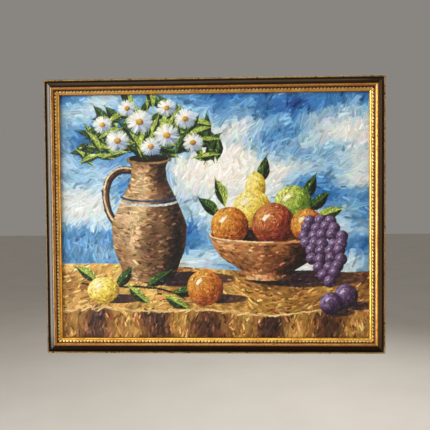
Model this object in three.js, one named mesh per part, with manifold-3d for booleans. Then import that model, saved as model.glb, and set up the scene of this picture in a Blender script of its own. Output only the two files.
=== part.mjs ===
// A framed oil painting: a dark wooden frame with gilt mouldings, round a canvas on a keyed stretcher.
// Millimetres. +X is to the right as the picture is seen, +Y points back to the wall and +Z is up.
// The origin is in the middle of the top rail's back face, which lies against the wall.

import * as THREE from 'three';
import { mergeVertices } from 'three/addons/utils/BufferGeometryUtils.js';
import Module from 'manifold-3d';

// Driving sizes: the canvas, the part of it that shows, and the moulding's width and depth
const CANVAS_WIDTH = 508;
const CANVAS_HEIGHT = 405;
const SIGHT_WIDTH = 495.3;
const SIGHT_HEIGHT = 392.3;
const MOULDING_WIDTH = 25.5;
const MOULDING_DEPTH = 31;

// Gaps between pieces that touch: at the mitres, under glued or laid pieces, and round the canvas
const MITRE_GAP = 0.15;
const SEAT_GAP = 0.1;
const CANVAS_PLAY = 1.6;
const SLOT_PLAY = 0.3;

// Moulding section. Places across it are measured from the frame's outer edge, depths from the wall.
const BACK_CHAMFER = 0.6;
const LIP_WIDTH = 3;
const LIP_SEAT = 23.2;
const LIP_HEIGHT = 2;
const LIP_ROUND = 1.3;
const COVE_END = 14;
const COVE_LOW = 24.5;
const COVE_EASE = 2.8;
const BEAD_SEAT = 28;
const BEAD_WIDTH = 3.5;
const BEAD_STRAIGHT = 0.5;
const BEAD_CREST = 15.2;
const BEAD_SHOULDER = 29.7;
const GROOVE_START = 17.7;
const GROOVE_DEPTH = 27;
const LOBE_START = 18.7;
const LOBE_END = 21.2;
const LOBE_TOP = 28.4;
const LOBE_NOTCH = 2;
const LOBE_PITCH = 5.5;
const SHELF_DEPTH = 24;
const SIGHT_TOP = 27.8;
const SIGHT_LOW = 25.2;
const SIGHT_SKIRT = 0.6;
const SIGHT_EASE = 1;
const REBATE_DEPTH = 22;

// Canvas and stretcher
const CLOTH = 0.8;
const TURNOVER = 24;
const BAR_WIDTH = 38;
const BAR_DEPTH = 14.8;
const BAR_LAND = 6;
const BAR_BEVEL = 2;

// Corner keys, two at each corner, driven into slots in the bars' inner edges
const KEY_THICK = 3;
const KEY_WIDTH = 20;
const KEY_TIP_WIDTH = 15;
const KEY_LENGTH = 26;
const KEY_SUNK = 12;
const KEY_FROM_CORNER = 24;

// Flat steel points that hold the canvas in the rebate, two on each rail
const POINT_THICK = 0.6;
const POINT_WIDTH = 9;
const POINT_SUNK = 5.5;
const POINT_REACH = 9.5;
const POINT_SPREAD = 0.27;

// Hangers: a strap rolled round the straight side of a D-shaped ring, held by two screws
const HANGER_DROP = 148;
const HANGER_INSET = 50.6;
const STRAP_THICK = 1.2;
const STRAP_WIDTH = 10;
const STRAP_LENGTH = 28;
const ROLL_BORE = 1.6;
const ROLL_END = THREE.MathUtils.degToRad(-70);
const WIRE_RADIUS = 1.2;
const RING_HALF_WIDTH = 8.4;
const RING_CORNER = 2.6;
const RING_DROP = 14;
const RING_SPLIT = 0.2;
const RING_POINTS = 40;
const RING_STEPS = 44;
const SCREW_DROPS = { upper: 7.4, lower: 22 };
const SCREW_HEAD_RADIUS = 3.4;
const SCREW_HEAD_HEIGHT = 1.9;
const SCREW_RIM_HEIGHT = 0.85;
const SCREW_CROWN_RADIUS = 2.4;
const SCREW_CROWN_HEIGHT = 1.7;
const SCREW_SHANK_RADIUS = 1.6;
const SCREW_LENGTH = 11;

// Facets: segments of each piece's curves, the screws' sides, and how near two corners count as one
const SEGMENTS = { cove: 8, lip: 3, bead: 4, lobe: 2, sight: 6, roll: 6, wire: 4 };
const SCREW_SIDES = 12;
const MERGE_DISTANCE = 1e-4;

// Worked out from the sizes above
const OUTER_WIDTH = SIGHT_WIDTH + 2 * MOULDING_WIDTH;
const OUTER_HEIGHT = SIGHT_HEIGHT + 2 * MOULDING_WIDTH;
const CANVAS_EDGE = MOULDING_WIDTH - (CANVAS_WIDTH - SIGHT_WIDTH) / 2;
const REBATE_WALL = CANVAS_EDGE - CANVAS_PLAY;
const TOP_EDGE = REBATE_WALL / 2;
const MIDDLE = TOP_EDGE - OUTER_HEIGHT / 2;
const CANVAS_FRONT = REBATE_DEPTH - 2 * SEAT_GAP;
const BAR_FRONT = CANVAS_FRONT - CLOTH - SEAT_GAP;
const BAR_BACK = BAR_FRONT - BAR_DEPTH;
const BAR_OUTER = CANVAS_EDGE + CLOTH + SEAT_GAP;
const BAR_INNER = BAR_OUTER + BAR_WIDTH;
const CLOTH_BACK = BAR_BACK - SEAT_GAP - CLOTH;
const SCREW_SEAT = SEAT_GAP - ROLL_BORE;
const SCREW_TIP = SCREW_SEAT - SCREW_LENGTH;
const SCREW_SHOULDER = SCREW_TIP + 2 * SCREW_SHANK_RADIUS;
const POINT_DEPTH = CLOTH_BACK - SEAT_GAP;

const darkWood = new THREE.MeshStandardMaterial({ color: 0x1d130e, roughness: 0.35, metalness: 0 });
const gilding = new THREE.MeshStandardMaterial({ color: 0xc8963c, roughness: 0.35, metalness: 0.8 });
const paintedCanvas = new THREE.MeshStandardMaterial({ color: 0x86a0ae, roughness: 0.6, metalness: 0 });
const rawCanvas = new THREE.MeshStandardMaterial({ color: 0xd2c6a8, roughness: 0.95, metalness: 0 });
const pine = new THREE.MeshStandardMaterial({ color: 0xcda878, roughness: 0.75, metalness: 0 });
const steel = new THREE.MeshStandardMaterial({ color: 0xb4b6b8, roughness: 0.35, metalness: 0.9 });

const wasm = await Module();
wasm.setup();

const painting = new THREE.Group();

// Each side of the frame is a group whose X runs along the side and whose Z points out of the frame.
const sides = [
  { name: 'top', length: OUTER_WIDTH, turn: 0, x: 0, z: TOP_EDGE },
  { name: 'right', length: OUTER_HEIGHT, turn: Math.PI / 2, x: OUTER_WIDTH / 2, z: MIDDLE },
  { name: 'bottom', length: OUTER_WIDTH, turn: Math.PI, x: 0, z: TOP_EDGE - OUTER_HEIGHT },
  { name: 'left', length: OUTER_HEIGHT, turn: -Math.PI / 2, x: -OUTER_WIDTH / 2, z: MIDDLE },
];
for (const side of sides) {
  side.group = new THREE.Group();
  side.group.rotation.y = side.turn;
  side.group.position.set(side.x, 0, side.z);
  side.group.updateMatrixWorld();
  painting.add(side.group);
}

function addMesh(parent, name, geometry, material) {
  const mesh = new THREE.Mesh(geometry, material);
  mesh.name = name;
  parent.add(mesh);
}

function toSolid(geometry) {
  const bare = geometry.clone();
  bare.deleteAttribute('normal');
  bare.deleteAttribute('uv');
  const merged = mergeVertices(bare, MERGE_DISTANCE);
  const vertProperties = new Float32Array(merged.getAttribute('position').array);
  const triVerts = new Uint32Array(merged.getIndex().array);
  return new wasm.Manifold(new wasm.Mesh({ numProp: 3, vertProperties, triVerts }));
}

function toGeometry(solid) {
  const { vertProperties, triVerts } = solid.getMesh();
  const geometry = new THREE.BufferGeometry();
  geometry.setAttribute('position', new THREE.BufferAttribute(vertProperties, 3));
  geometry.setIndex(new THREE.BufferAttribute(triVerts, 1));
  geometry.computeVertexNormals();
  return geometry;
}

function cut(geometry, cutters) {
  let solid = toSolid(geometry);
  for (const cutter of cutters) {
    solid = solid.subtract(toSolid(cutter));
  }
  return toGeometry(solid);
}

// A bar along one side, from a section of (place from the outer edge, minus depth), mitred at both ends
function mitredBar(side, section, curveSegments = 1) {
  const bar = new THREE.ExtrudeGeometry(section, { depth: 1, bevelEnabled: false, curveSegments });
  const points = bar.getAttribute('position');
  for (let i = 0; i < points.count; i += 1) {
    const reach = side.length / 2 - points.getX(i) - MITRE_GAP;
    points.setZ(i, points.getZ(i) > 0.5 ? reach : -reach);
  }
  bar.rotateY(Math.PI / 2);
  return bar;
}

// A flat piece in a side's group, from an outline of (place along, minus place from the outer edge)
function plate(outline, backDepth, thickness, curveSegments = 1) {
  const piece = new THREE.ExtrudeGeometry(outline, { depth: thickness, bevelEnabled: false, curveSegments });
  piece.rotateX(Math.PI / 2);
  piece.translate(0, -backDepth, 0);
  return piece;
}

function polygon(points) {
  return new THREE.Shape(points.map(([x, y]) => new THREE.Vector2(x, y)));
}

function railSection() {
  const section = new THREE.Shape();
  section.moveTo(BACK_CHAMFER, 0);
  section.lineTo(REBATE_WALL, 0);
  section.lineTo(REBATE_WALL, -REBATE_DEPTH);
  section.lineTo(MOULDING_WIDTH - SIGHT_SKIRT - SEAT_GAP, -REBATE_DEPTH);
  section.lineTo(MOULDING_WIDTH - SIGHT_SKIRT - SEAT_GAP, -SHELF_DEPTH);
  section.lineTo(LOBE_START - SEAT_GAP, -SHELF_DEPTH);
  section.lineTo(LOBE_START - SEAT_GAP, -GROOVE_DEPTH);
  section.lineTo(GROOVE_START, -GROOVE_DEPTH);
  section.lineTo(GROOVE_START, -BEAD_SEAT);
  section.lineTo(COVE_END, -BEAD_SEAT);
  section.bezierCurveTo(
    COVE_END - COVE_EASE, -COVE_LOW,
    LIP_WIDTH + COVE_EASE, -COVE_LOW,
    LIP_WIDTH + SEAT_GAP, -LIP_SEAT,
  );
  section.lineTo(0, -LIP_SEAT);
  section.lineTo(0, -BACK_CHAMFER);
  return section;
}

function outerLipSection() {
  const base = -LIP_SEAT - SEAT_GAP;
  const shoulder = -LIP_SEAT - LIP_HEIGHT + LIP_ROUND;
  const section = new THREE.Shape();
  section.moveTo(0, base);
  section.lineTo(LIP_WIDTH, base);
  section.lineTo(LIP_WIDTH, shoulder);
  section.absellipse(LIP_WIDTH / 2, shoulder, LIP_WIDTH / 2, LIP_ROUND, 0, -Math.PI, true);
  return section;
}

// The gilt bead stands upright at its outer side, and falls from its crest in a long round to the groove.
function beadSection() {
  const base = -BEAD_SEAT - SEAT_GAP;
  const outer = (COVE_END + GROOVE_START - BEAD_WIDTH) / 2;
  const inner = outer + BEAD_WIDTH;
  const section = new THREE.Shape();
  section.moveTo(outer, base);
  section.lineTo(inner, base);
  section.lineTo(inner, base - BEAD_STRAIGHT);
  section.quadraticCurveTo((BEAD_CREST + inner) / 2, -MOULDING_DEPTH, BEAD_CREST, -MOULDING_DEPTH);
  section.quadraticCurveTo(outer, -MOULDING_DEPTH, outer, -BEAD_SHOULDER);
  return section;
}

function sightEdgeSection() {
  const start = LOBE_END + SEAT_GAP;
  const skirt = MOULDING_WIDTH - SIGHT_SKIRT;
  const section = new THREE.Shape();
  section.moveTo(start, -SHELF_DEPTH - SEAT_GAP);
  section.lineTo(skirt, -SHELF_DEPTH - SEAT_GAP);
  section.lineTo(skirt, -REBATE_DEPTH - SEAT_GAP);
  section.lineTo(MOULDING_WIDTH, -REBATE_DEPTH - SEAT_GAP);
  section.lineTo(MOULDING_WIDTH, -SIGHT_LOW);
  section.quadraticCurveTo(MOULDING_WIDTH - SIGHT_EASE, -SIGHT_TOP, start, -SIGHT_TOP);
  return section;
}

// A row of round-ended lobes with their tips towards the bead, joined along their inner ends
function lobeOutline(side) {
  const waist = LOBE_START + LOBE_NOTCH;
  const innerReach = side.length / 2 - LOBE_END - MITRE_GAP;
  const waistReach = side.length / 2 - waist - MITRE_GAP;
  const count = Math.round((2 * waistReach) / LOBE_PITCH);
  const pitch = (2 * waistReach) / count;
  const outline = new THREE.Shape();
  outline.moveTo(-innerReach, -LOBE_END);
  outline.lineTo(innerReach, -LOBE_END);
  outline.lineTo(waistReach, -waist);
  for (let i = 0; i < count; i += 1) {
    const centre = waistReach - (i + 0.5) * pitch;
    outline.absellipse(centre, -waist, pitch / 2, LOBE_NOTCH, 0, Math.PI, false);
  }
  return outline;
}

function turnoverSection() {
  return polygon([
    [CANVAS_EDGE, -BAR_FRONT],
    [CANVAS_EDGE + CLOTH, -BAR_FRONT],
    [CANVAS_EDGE + CLOTH, -CLOTH_BACK - CLOTH],
    [CANVAS_EDGE + TURNOVER, -CLOTH_BACK - CLOTH],
    [CANVAS_EDGE + TURNOVER, -CLOTH_BACK],
    [CANVAS_EDGE, -CLOTH_BACK],
  ]);
}

function stretcherSection() {
  return polygon([
    [BAR_OUTER, -BAR_FRONT],
    [BAR_OUTER, -BAR_BACK],
    [BAR_INNER, -BAR_BACK],
    [BAR_INNER, -BAR_FRONT + BAR_BEVEL],
    [BAR_OUTER + BAR_LAND, -BAR_FRONT],
  ]);
}

// A key seen from the back: a tapered slip whose narrow end is in the bar; grow makes the slot for it
function keyOutline(middle, grow) {
  const sunk = -(BAR_INNER - KEY_SUNK - grow);
  const free = -(BAR_INNER - KEY_SUNK + KEY_LENGTH);
  return polygon([
    [middle - KEY_TIP_WIDTH / 2 - grow, sunk],
    [middle - KEY_WIDTH / 2 - grow, free],
    [middle + KEY_WIDTH / 2 + grow, free],
    [middle + KEY_TIP_WIDTH / 2 + grow, sunk],
  ]);
}

function keyPiece(middle, grow) {
  const backDepth = (BAR_FRONT + BAR_BACK - KEY_THICK) / 2 - grow;
  return plate(keyOutline(middle, grow), backDepth, KEY_THICK + 2 * grow);
}

// A retaining point: a flat strip, pointed at the end that is driven into the rebate's wall
function pointPiece(middle, grow) {
  const half = POINT_WIDTH / 2 + grow;
  const tip = -(REBATE_WALL - POINT_SUNK - grow);
  const end = -(REBATE_WALL + POINT_REACH);
  const outline = polygon([
    [middle, tip],
    [middle - half, tip - half / 2],
    [middle - half, end],
    [middle + half, end],
    [middle + half, tip - half / 2],
  ]);
  return plate(outline, POINT_DEPTH - POINT_THICK - grow, POINT_THICK + 2 * grow);
}

// Hanger pieces are made about the ring's axis, with Z up the strap and Y to the wall.
function strapPiece() {
  const outer = ROLL_BORE + STRAP_THICK;
  const section = new THREE.Shape();
  section.moveTo(-outer, -STRAP_LENGTH);
  section.lineTo(-outer, 0);
  section.absarc(0, 0, outer, Math.PI, ROLL_END, true);
  section.lineTo(ROLL_BORE * Math.cos(ROLL_END), ROLL_BORE * Math.sin(ROLL_END));
  section.absarc(0, 0, ROLL_BORE, ROLL_END, Math.PI, false);
  section.lineTo(-ROLL_BORE, -STRAP_LENGTH);
  const extrusion = { depth: STRAP_WIDTH, bevelEnabled: false, curveSegments: SEGMENTS.roll };
  const piece = new THREE.ExtrudeGeometry(section, extrusion);
  piece.translate(0, 0, -STRAP_WIDTH / 2);
  const [x, y, z] = [new THREE.Vector3(1, 0, 0), new THREE.Vector3(0, 1, 0), new THREE.Vector3(0, 0, 1)];
  piece.applyMatrix4(new THREE.Matrix4().makeBasis(y, z, x));
  return cut(piece, Object.values(SCREW_DROPS).map((drop) => screwHole(drop)));
}

function ringPiece() {
  const bend = new THREE.Path();
  bend.moveTo(RING_SPLIT, 0);
  bend.lineTo(RING_HALF_WIDTH - RING_CORNER, 0);
  bend.quadraticCurveTo(RING_HALF_WIDTH, 0, RING_HALF_WIDTH, -RING_CORNER);
  bend.absellipse(0, -RING_CORNER, RING_HALF_WIDTH, RING_DROP - RING_CORNER, 0, -Math.PI, true);
  bend.quadraticCurveTo(-RING_HALF_WIDTH, 0, -RING_HALF_WIDTH + RING_CORNER, 0);
  bend.lineTo(-RING_SPLIT, 0);
  const points = bend.getSpacedPoints(RING_POINTS).map((p) => new THREE.Vector3(p.x, 0, p.y));
  const wire = new THREE.Shape();
  wire.absarc(0, 0, WIRE_RADIUS, 0, 2 * Math.PI, false);
  const extrudePath = new THREE.CatmullRomCurve3(points);
  return new THREE.ExtrudeGeometry(wire, { extrudePath, steps: RING_STEPS, curveSegments: SEGMENTS.wire });
}

// A round solid at a screw's place, from a profile of (radius, place along the screw)
function screwSolid(profile, drop) {
  const points = profile.map(([radius, place]) => new THREE.Vector2(radius, place));
  const solid = new THREE.LatheGeometry(points, SCREW_SIDES);
  solid.translate(0, 0, -drop);
  return solid;
}

// A pan-head screw whose head bears on the strap
function screwPiece(drop) {
  return screwSolid([
    [0, SCREW_TIP],
    [SCREW_SHANK_RADIUS, SCREW_SHOULDER],
    [SCREW_SHANK_RADIUS, SCREW_SEAT],
    [SCREW_HEAD_RADIUS, SCREW_SEAT],
    [SCREW_HEAD_RADIUS, SCREW_SEAT + SCREW_RIM_HEIGHT],
    [SCREW_CROWN_RADIUS, SCREW_SEAT + SCREW_CROWN_HEIGHT],
    [0, SCREW_SEAT + SCREW_HEAD_HEIGHT],
  ], drop);
}

// The hole for a screw's shank, through the strap and into the bar
function screwHole(drop) {
  const radius = SCREW_SHANK_RADIUS + SLOT_PLAY;
  return screwSolid([
    [0, SCREW_TIP - SLOT_PLAY],
    [radius, SCREW_SHOULDER],
    [radius, SCREW_SEAT + SLOT_PLAY],
    [0, SCREW_SEAT + SLOT_PLAY],
  ], drop);
}

const hangers = [
  { name: 'left', x: HANGER_INSET - OUTER_WIDTH / 2 },
  { name: 'right', x: OUTER_WIDTH / 2 - HANGER_INSET },
];
for (const hanger of hangers) {
  hanger.group = new THREE.Group();
  const axisY = SEAT_GAP + STRAP_THICK + ROLL_BORE - BAR_BACK;
  hanger.group.position.set(hanger.x, axisY, TOP_EDGE - HANGER_DROP);
  hanger.group.updateMatrixWorld();
  painting.add(hanger.group);
  addMesh(hanger.group, `hanger_strap_${hanger.name}`, strapPiece(), steel);
  addMesh(hanger.group, `hanger_ring_${hanger.name}`, ringPiece(), steel);
  for (const [place, drop] of Object.entries(SCREW_DROPS)) {
    addMesh(hanger.group, `hanger_screw_${hanger.name}_${place}`, screwPiece(drop), steel);
  }
}

// The screw holes that a side's stretcher bar needs, in that side's own group
function screwHoles(side) {
  const hanger = hangers.find((each) => each.name === side.name);
  if (!hanger) {
    return [];
  }
  const toSide = side.group.matrixWorld.clone().invert().multiply(hanger.group.matrixWorld);
  return Object.values(SCREW_DROPS).map((drop) => screwHole(drop).applyMatrix4(toSide));
}

for (const side of sides) {
  const keyReach = side.length / 2 - BAR_INNER - KEY_FROM_CORNER;
  const keyPlaces = { a: -keyReach, b: keyReach };
  const pointPlaces = { a: -POINT_SPREAD * side.length, b: POINT_SPREAD * side.length };
  const pointSlots = Object.values(pointPlaces).map((middle) => pointPiece(middle, SLOT_PLAY));
  const keySlots = Object.values(keyPlaces).map((middle) => keyPiece(middle, SLOT_PLAY));

  const rail = cut(mitredBar(side, railSection(), SEGMENTS.cove), pointSlots);
  addMesh(side.group, `rail_${side.name}`, rail, darkWood);
  addMesh(side.group, `outer_lip_${side.name}`, mitredBar(side, outerLipSection(), SEGMENTS.lip), gilding);
  addMesh(side.group, `gilt_bead_${side.name}`, mitredBar(side, beadSection(), SEGMENTS.bead), gilding);
  const lobeSeat = SHELF_DEPTH + SEAT_GAP;
  const lobes = plate(lobeOutline(side), lobeSeat, LOBE_TOP - lobeSeat, SEGMENTS.lobe);
  addMesh(side.group, `lobe_row_${side.name}`, lobes, gilding);
  const sightEdge = mitredBar(side, sightEdgeSection(), SEGMENTS.sight);
  addMesh(side.group, `sight_edge_${side.name}`, sightEdge, gilding);
  addMesh(side.group, `canvas_turnover_${side.name}`, mitredBar(side, turnoverSection()), rawCanvas);
  const bar = cut(mitredBar(side, stretcherSection()), [...keySlots, ...screwHoles(side)]);
  addMesh(side.group, `stretcher_${side.name}`, bar, pine);
  for (const [end, middle] of Object.entries(keyPlaces)) {
    addMesh(side.group, `key_${side.name}_${end}`, keyPiece(middle, 0), pine);
  }
  for (const [end, middle] of Object.entries(pointPlaces)) {
    addMesh(side.group, `point_${side.name}_${end}`, pointPiece(middle, 0), steel);
  }
}

const face = new THREE.BoxGeometry(CANVAS_WIDTH, CLOTH, CANVAS_HEIGHT);
face.translate(0, -CANVAS_FRONT + CLOTH / 2, MIDDLE);
addMesh(painting, 'canvas_face', face, paintedCanvas);

export default painting;
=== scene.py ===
import math

import bmesh
import bpy
import numpy as np
from mathutils import Matrix, Vector


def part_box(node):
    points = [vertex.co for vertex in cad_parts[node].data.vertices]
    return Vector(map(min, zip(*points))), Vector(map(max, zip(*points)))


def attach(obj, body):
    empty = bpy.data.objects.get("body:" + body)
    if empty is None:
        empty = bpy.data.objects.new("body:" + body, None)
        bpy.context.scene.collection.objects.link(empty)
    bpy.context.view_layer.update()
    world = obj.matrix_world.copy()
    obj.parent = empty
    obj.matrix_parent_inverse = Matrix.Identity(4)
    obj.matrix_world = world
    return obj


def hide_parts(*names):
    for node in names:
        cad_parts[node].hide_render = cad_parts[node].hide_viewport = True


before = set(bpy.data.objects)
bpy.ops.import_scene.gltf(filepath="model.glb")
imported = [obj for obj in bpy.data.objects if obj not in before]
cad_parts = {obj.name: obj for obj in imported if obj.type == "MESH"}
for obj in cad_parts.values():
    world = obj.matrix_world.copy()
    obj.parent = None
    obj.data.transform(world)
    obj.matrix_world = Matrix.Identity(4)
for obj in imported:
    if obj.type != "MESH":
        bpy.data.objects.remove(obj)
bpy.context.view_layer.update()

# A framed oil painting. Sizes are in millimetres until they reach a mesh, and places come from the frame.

MM = 0.001
BODY = "frame"
SEAT_GAP = 0.1

# Camera, solved from the frame's outer and inner corners in the photograph
CAMERA_PLACE = (25.5, -794.1, -191.5)
CAMERA_TURN_DEG = (-1.43, 0.39, 1.74)
FOCAL_PIXELS = 480.0
PICTURE_PIXELS = 430.0
SENSOR_MM = 36.0

# Moulding section: places from the outer edge and depths from the wall that no node's box gives
MITRE_GAP = 0.06
BACK_CHAMFER = 0.8
BACK_STAIN = 3.0
COVE_PLACE = 5.4
COVE_FLOOR = 24.0
STEP_PLACE = 9.7
STEP_DEPTH = 25.8
LEDGE = (0.4, 0.2)
QUIRK = (0.2, -0.3)
LIP_SINK = 0.2
LIP_LEAN = 0.1
BEAD_SINK = 0.5
BEAD_HEEL = 0.4
BEAD_CREST = 14.5
BEAD_SHOULDER = 29.7
GROOVE_SINK = 1.1
SHELF_SINK = 4.1
RECESS_DEPTH = 27.15
SIGHT_LOW = 25.0
SIGHT_DROP = 0.4
SIGHT_TALL = 3.8
SIGHT_NOSE = 0.7
# The sight edge's rounded outer edge: places in from its start and drops from its top
SIGHT_ROUND = ((0.6, 0.0), (0.4, 0.15), (0.1, 0.5))
RAIL_STATIONS = 40
GOLD_STATION = 4.0
# Waver of the gilt surfaces: the lengths of its waves, per radian, and where it starts above the foot
WAVE_LENGTHS = (3.1, 5.3, 9.7, 17.0)
WAVE_FROM = 0.5

# Lobes and the strip that they stand on, darkened as painted shade under the lobes and in the groove
LOBE_PITCH = 5.6
LOBE_SLANT = 0.8
LOBE_SINK = 0.6
LOBE_ROOT = 0.8
LOBE_TIP = 0.35
LOBE_CREST = 0.7
LOBE_FALL = {"root": 0.55, "tip": 0.6}
LOBE_STRAY = {"place": 0.12, "size": 0.04, "length": 0.03}
STRIP_THICK = 2.0
STRIP_GAP = 0.15
STRIP_LAP = 0.4
STRIP_SHADE_REACH = 0.4
STRIP_GROOVE_SHADE = 0.78

# Looks of each side: the way of its grain, the gloss of its lacquer, the depth of its stain, set per side
# as painted light and shade, and painted shade on its gold
GRAIN = {"top": "x", "bottom": "x", "left": "z", "right": "z"}
LACQUER = {"top": 0.3, "right": 0.14, "bottom": 0.05, "left": 0.3}
STAIN_SIDE_LIGHT = {"top": 1.0, "right": 2.2, "bottom": 0.6, "left": 1.0}
# Painted shade added to the gold of some sides, most on the top rail
SIDE_SHADE = {
    ("outer_lip", "left"): 0.5,
    ("gilt_bead", "top"): 0.5,
    ("gilt_bead", "bottom"): 0.36,
    ("lobe_row", "top"): 0.46,
    ("lobe_row", "left"): 0.2,
    ("lobe_row", "bottom"): 0.1,
    ("sight_edge", "top"): 0.6,
}
# Darkening of the gold, off the lip's crown and as painted shade on the bead and the sight edge: where it
# starts, how far on it is full and how much is then gone
LIP_WEAR = (0.4, 0.45, 0.95)
BEAD_SHADE = (1.2, 1.4, 0.95)
LOWER_BEAD_SHADE = (-2.2, 1.6, 0.6)
SIGHT_SHADE = (-1.1, 4 / 3, 0.75)
# How bare the dark wood is at its back chamfer and at its step
CHAMFER_WEAR = 0.35
STEP_WEAR = 0.1

# Canvas, its paint and its staples
CLOTH_THICK = 0.6
CLOTH_FRONT = 21.4
CLOTH_BACK = 5.3
CLOTH_GRID = (26, 21)
CLOTH_CURL = 0.25
CURL_SPAN = 5
FOLD_RADIUS = 1.1
FOLD_LIFT = 0.7
FOLD_REACH = 45.0
FOLD_FLAP = 14.0
FLAP_PROUD = 0.1
FLAP_SUNK = 0.3
FLAP_ROUND = 0.15
PAINT_UNDER_LIP = 3.0
PAINT_GRID = 0.8
PAINT_STRIPS = 4
STAPLE_PITCH = 42.0
STAPLE_CROWN = 10.5
STAPLE_WIRE = 0.5
STAPLE_INSET = 11.5
STAPLE_STRAY = {"turn": 0.16, "in": 1.0, "along": 2.0}
# Half a staple: places in from the end of its crown and heights over the cloth
STAPLE_LEG = ((0.0, -2.0), (0.0, -0.2), (0.15, 0.25), (0.6, 0.4))

# Stretcher, keys, points and hangers
BAR_CLEAR = 0.2
BAR_CHAMFER = 0.9
BAR_BEVEL = 2.0
BAR_FLAT = 6.0
BAR_STATIONS = 12
KEY_TAPER = 2.5
KEY_ROUND = 0.4
POINT_THICK = 0.6
POINT_TIP = 0.5
POINT_BEND = 1.2
POINT_CHAMFER = 0.15
WIRE_RADIUS = 1.2
RING_CORNER = 2.6
STRAP_THICK = 1.2
STRAP_CHAMFER = 0.2
STRAP_TIP = 0.12
STRAP_STEPS = 8
ROLL_BORE = 1.6
ROLL_END_DEG = -70.0
ROLL_STEPS = 24
SCREW_SHANK = 1.6
SCREW_POINT = 3.0
SCREW_HEAD = 1.9
SCREW_AXIS = 0.05
# The screw head's edge: places in from its rim and heights over its seat
SCREW_EDGE = ((0.0, 0.0), (0.0, 0.6), (0.15, 1.0), (0.6, 1.45), (1.2, 1.75))
SCREW_CROWN = 2.1
CROSS_HALF = 0.5
CROSS_REACH = 1.8
CROSS_DEEP = 0.9
CROSS_FROM = 1.5


# Places on the frame

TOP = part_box("rail_top")[1].z / MM
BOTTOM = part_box("rail_bottom")[0].z / MM
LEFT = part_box("rail_left")[0].x / MM
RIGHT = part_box("rail_right")[1].x / MM
MIDDLE_X = (LEFT + RIGHT) / 2
MIDDLE_Z = (TOP + BOTTOM) / 2
# Each side: its length, the middle of its outer edge, the way along it and the way in, as (x, z)
SIDES = {
    "top": (RIGHT - LEFT, (MIDDLE_X, TOP), (1, 0), (0, -1)),
    "right": (TOP - BOTTOM, (RIGHT, MIDDLE_Z), (0, -1), (-1, 0)),
    "bottom": (RIGHT - LEFT, (MIDDLE_X, BOTTOM), (-1, 0), (0, 1)),
    "left": (TOP - BOTTOM, (LEFT, MIDDLE_Z), (0, 1), (1, 0)),
}


def box_mm(node):
    """The lower and the upper corner of a node's box, in millimetres."""
    return np.array([tuple(corner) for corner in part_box(node)]) / MM


def side_box(side, node):
    """A node's box on one side: places along it, places in from its edge, and depths from the wall."""
    _, start, way, inwards = SIDES[side]
    corners = box_mm(node)
    flat = corners[:, [0, 2]] - start
    return np.sort(flat @ way), np.sort(flat @ inwards), np.sort(-corners[:, 1])


_, RAIL, _ = side_box("top", "rail_top")
_, LIP, LIP_DEPTH = side_box("top", "outer_lip_top")
_, BEAD, BEAD_DEPTH = side_box("top", "gilt_bead_top")
_, LOBES, LOBE_DEPTH = side_box("top", "lobe_row_top")
_, SIGHT, SIGHT_DEPTH = side_box("top", "sight_edge_top")
_, BAR, BAR_DEPTH = side_box("top", "stretcher_top")
_, MARGIN, _ = side_box("top", "canvas_turnover_top")
REBATE_DEPTH = SIGHT_DEPTH[0] - SEAT_GAP
# The origin is in the middle of the top rail's back face, which ends at the rebate
REBATE_WALL = 2 * TOP


def on_side(side, along, inward, depth):
    """World points, in metres, from arrays of places on one side of the frame."""
    _, start, way, inwards = SIDES[side]
    along, inward, depth = np.broadcast_arrays(along, inward, depth)
    x = start[0] + along * way[0] + inward * inwards[0]
    z = start[1] + along * way[1] + inward * inwards[1]
    return np.stack([x, -depth, z], axis=-1) * MM


# Meshes

def place_object(name, data):
    piece = bpy.data.objects.new(name, data)
    bpy.context.collection.objects.link(piece)
    return piece


def colour_points(mesh, name, values):
    """Colours of a mesh's points, four numbers each, kept as an attribute."""
    attribute = mesh.color_attributes.new(name, "FLOAT_COLOR", "POINT")
    attribute.data.foreach_set("color", np.ravel(values))


def make(name, points, faces, material, slot, replaced=(), body=BODY, sharp=40.0, shade=None, outward=True):
    """A piece from points and faces. shade is one number per point, kept as a colour attribute."""
    mesh = bpy.data.meshes.new(name)
    mesh.from_pydata(np.asarray(points).reshape(-1, 3).tolist(), [], faces)
    if shade is not None:
        colour_points(mesh, "shade", np.repeat(shade, 4))
    if outward:
        work = bmesh.new()
        work.from_mesh(mesh)
        bmesh.ops.recalc_face_normals(work, faces=work.faces)
        work.to_mesh(mesh)
        work.free()
    mesh.shade_smooth()
    mesh.set_sharp_from_angle(angle=math.radians(sharp))
    piece = place_object(name, mesh)
    mesh.materials.append(material)
    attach(piece, body)
    if replaced:
        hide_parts(*replaced)
    return piece


def refine(node, points, faces, material, slot, **settings):
    """A finer piece in the place of one node."""
    return make(f"{node}_fine", points, faces, material, slot, [node], **settings)


def bezier(start, first, second, end, count):
    """Points of a cubic curve, its start left out."""
    t = np.linspace(0, 1, count + 1)[1:, None]
    start, first, second, end = (np.array(p, float) for p in (start, first, second, end))
    return (1 - t) ** 3 * start + 3 * t * (1 - t) ** 2 * first + 3 * t * t * (1 - t) * second + t**3 * end


def flow(start, leave, arrive, end, count):
    """A cubic curve whose handles are given as steps from its two ends."""
    return bezier(start, np.add(start, leave), np.add(end, arrive), end, count)


def arc(centre, across, up, first_deg, last_deg, count):
    angles = np.radians(np.linspace(first_deg, last_deg, count + 1))
    return np.stack([centre[0] + across * np.cos(angles), centre[1] + up * np.sin(angles)], axis=1)


def ring_faces(rings, around, closed=False):
    """Quads between rings of points. The last ring joins the first if closed, else both ends are capped."""
    start = np.arange(rings if closed else rings - 1)[:, None] * around
    here, ahead = start + np.arange(around), start + np.roll(np.arange(around), -1)
    quads = np.stack([here, ahead, ahead + around, here + around], axis=-1) % (rings * around)
    faces = quads.reshape(-1, 4).tolist()
    if not closed:
        faces.append(list(reversed(range(around))))
        faces.append(list(range((rings - 1) * around, rings * around)))
    return faces


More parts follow.
